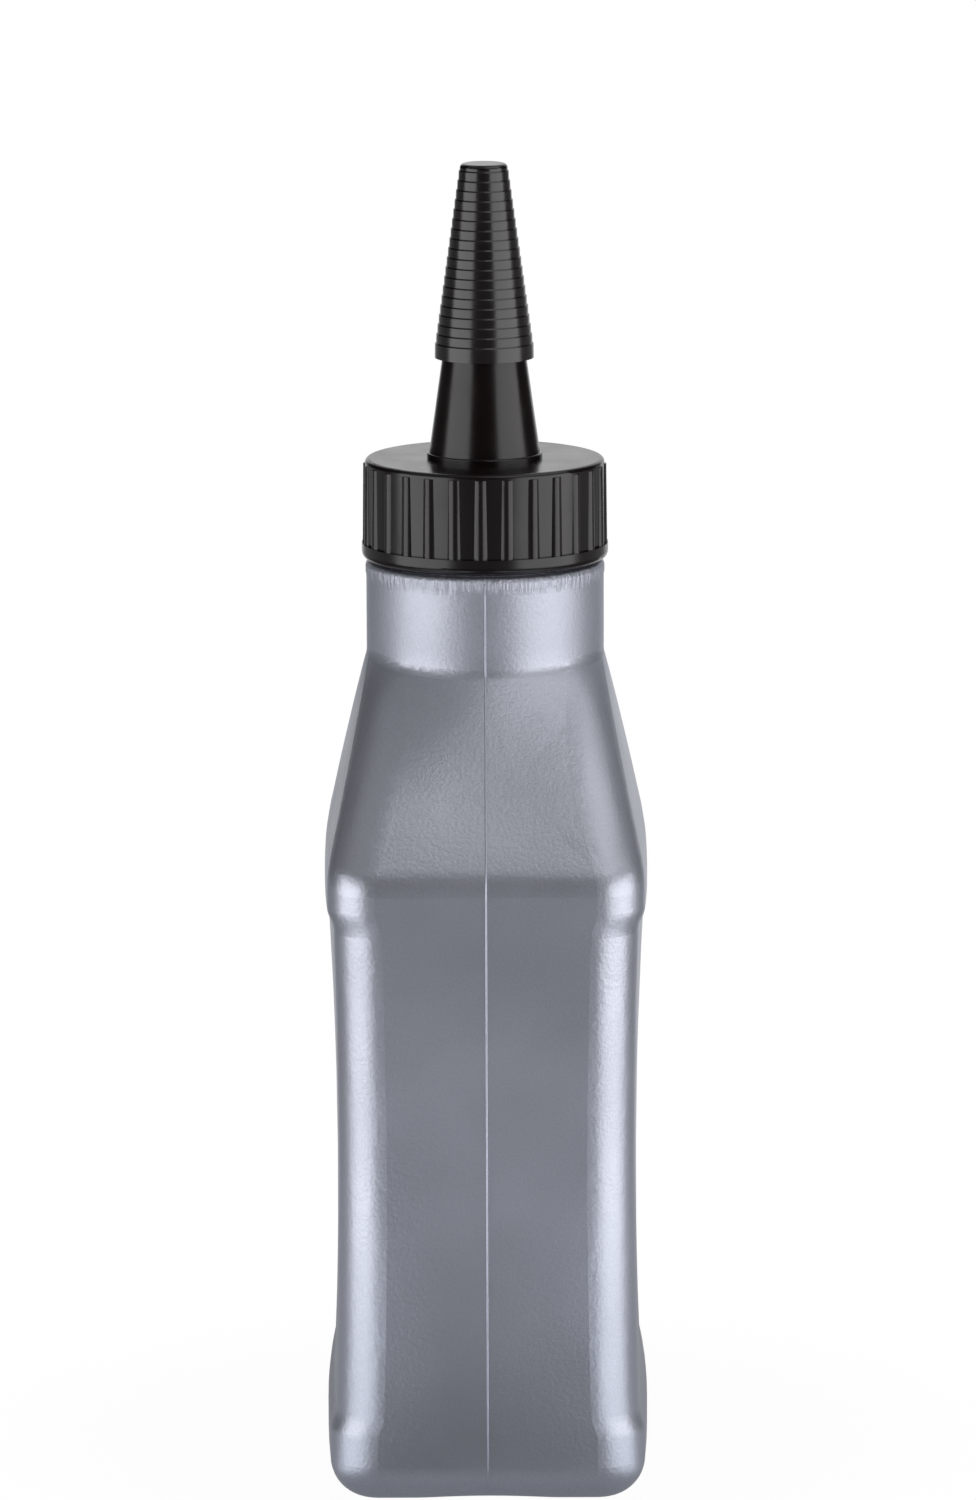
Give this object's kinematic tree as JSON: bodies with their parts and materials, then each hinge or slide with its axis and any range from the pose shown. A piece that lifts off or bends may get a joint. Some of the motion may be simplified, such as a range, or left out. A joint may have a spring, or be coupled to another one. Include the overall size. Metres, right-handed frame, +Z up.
{
  "type": "power steering fluid bottle",
  "caption": "Opaque blow-moulded fluid bottle, rounded-rectangle body with label recesses, screw cap with conical pouring nozzle and a stepped pull-off tip cap.",
  "frame": {"origin": "centre of the standing plane, under the neck's axis", "axes": "+Z up along the neck's axis, X through the two broad label faces, Y through the two narrow sides"},
  "size_m": [0.0674, 0.11, 0.2723],
  "materials": {
    "bottle_plastic": "silver-grey pearl polyethylene, satin, with a fine blow-moulded grain",
    "cap_plastic": "black moulded polyethylene, semi-gloss",
    "seal": "off-white foamed polyethylene, matt"
  },
  "bodies": {
    "bottle": {"bottle": "bottle_plastic"},
    "seal": {"sealing_ring": "seal"},
    "spout": {"spout_cap": "cap_plastic"},
    "tip": {"tip_cap": "cap_plastic"}
  },
  "joints": [
    {"name": "cap_lift", "type": "slide", "parent": "bottle", "child": "seal", "axis": [0, 0, 1], "range_m": [0, 0.01]},
    {"name": "cap_turn", "type": "hinge", "parent": "seal", "child": "spout", "pos_m": [0, 0, 0.2], "axis": [0, 0, 1], "range_deg": [0, 900]},
    {"name": "tip_cap_pull", "type": "slide", "parent": "spout", "child": "tip", "axis": [0, 0, 1], "range_m": [0, 0.045]}
  ],
  "couplings": [
    {"joint": "cap_lift", "follows": "cap_turn", "m_per_rad": 0.00063662}
  ]
}
